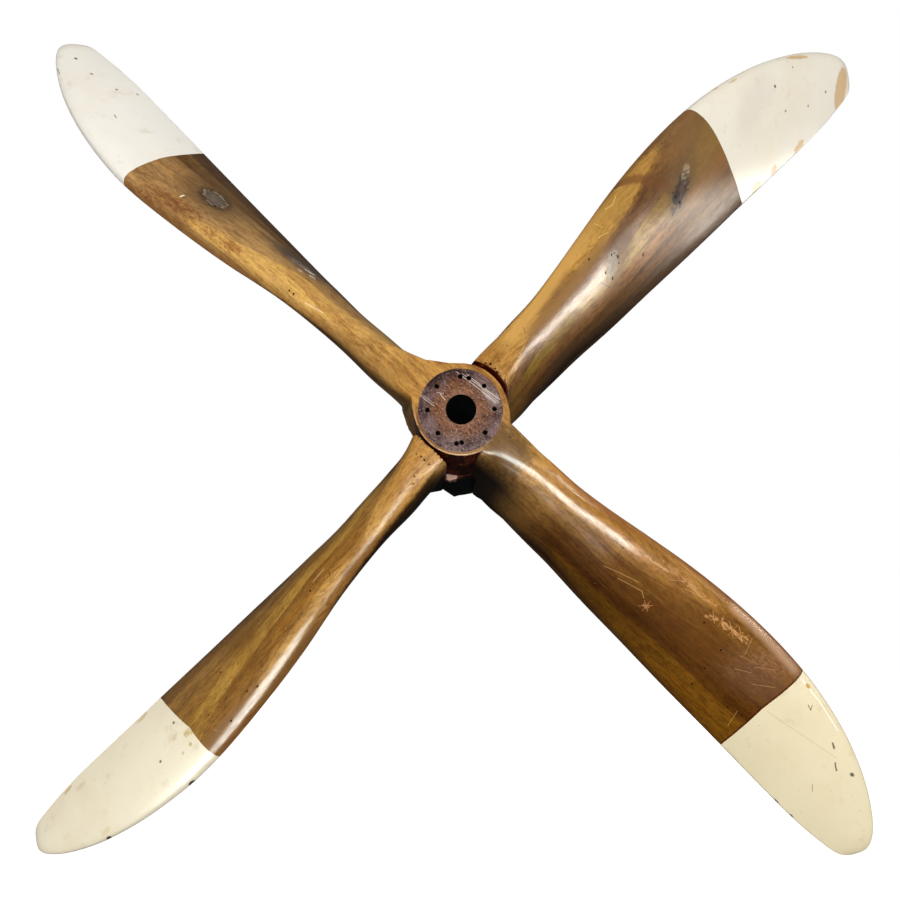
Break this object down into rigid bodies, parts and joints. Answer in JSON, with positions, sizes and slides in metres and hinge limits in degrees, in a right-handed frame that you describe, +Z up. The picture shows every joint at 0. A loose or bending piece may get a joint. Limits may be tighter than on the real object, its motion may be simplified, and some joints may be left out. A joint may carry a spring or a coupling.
{
  "type": "aircraft propeller",
  "caption": "Laminated wooden aircraft propeller: crossed halved blades with twisted aerofoil sections, cream painted tips, and a round bored hub with a circle of bolt holes.",
  "frame": {"origin": "on the shaft axis, on the flat rear face of the hub", "axes": "-Y forward along the shaft axis out of the front hub face, +Z up between the two upper blades, +X to the right seen from the front"},
  "size_m": [2.0136, 0.184, 2.0208],
  "materials": {
    "varnished_wood": "aged dark varnish, glossy",
    "varnished_board_end": "aged dark varnish, glossy",
    "cream_paint": "aged cream gloss paint, chipped at the edges"
  },
  "bodies": {
    "root": {"front_pair_board_1": "varnished_wood", "front_pair_board_2": "varnished_wood", "front_pair_board_3": "varnished_wood", "front_pair_board_4": "varnished_wood", "rear_pair_board_5": "varnished_wood", "rear_pair_board_6": "varnished_wood", "rear_pair_board_7": "varnished_wood", "rear_pair_board_8": "varnished_wood", "upper_right_board_1": "varnished_board_end", "upper_right_board_2": "varnished_board_end", "upper_right_board_3": "varnished_board_end", "upper_right_board_4": "varnished_board_end", "lower_left_board_1": "varnished_board_end", "lower_left_board_2": "varnished_board_end", "lower_left_board_3": "varnished_board_end", "lower_left_board_4": "varnished_board_end", "upper_left_board_5": "varnished_board_end", "upper_left_board_6": "varnished_board_end", "upper_left_board_7": "varnished_board_end", "upper_left_board_8": "varnished_board_end", "lower_right_board_5": "varnished_board_end", "lower_right_board_6": "varnished_board_end", "lower_right_board_7": "varnished_board_end", "lower_right_board_8": "varnished_board_end", "upper_left_painted_tip": "cream_paint", "upper_right_painted_tip": "cream_paint", "lower_left_painted_tip": "cream_paint", "lower_right_painted_tip": "cream_paint"}
  },
  "joints": []
}
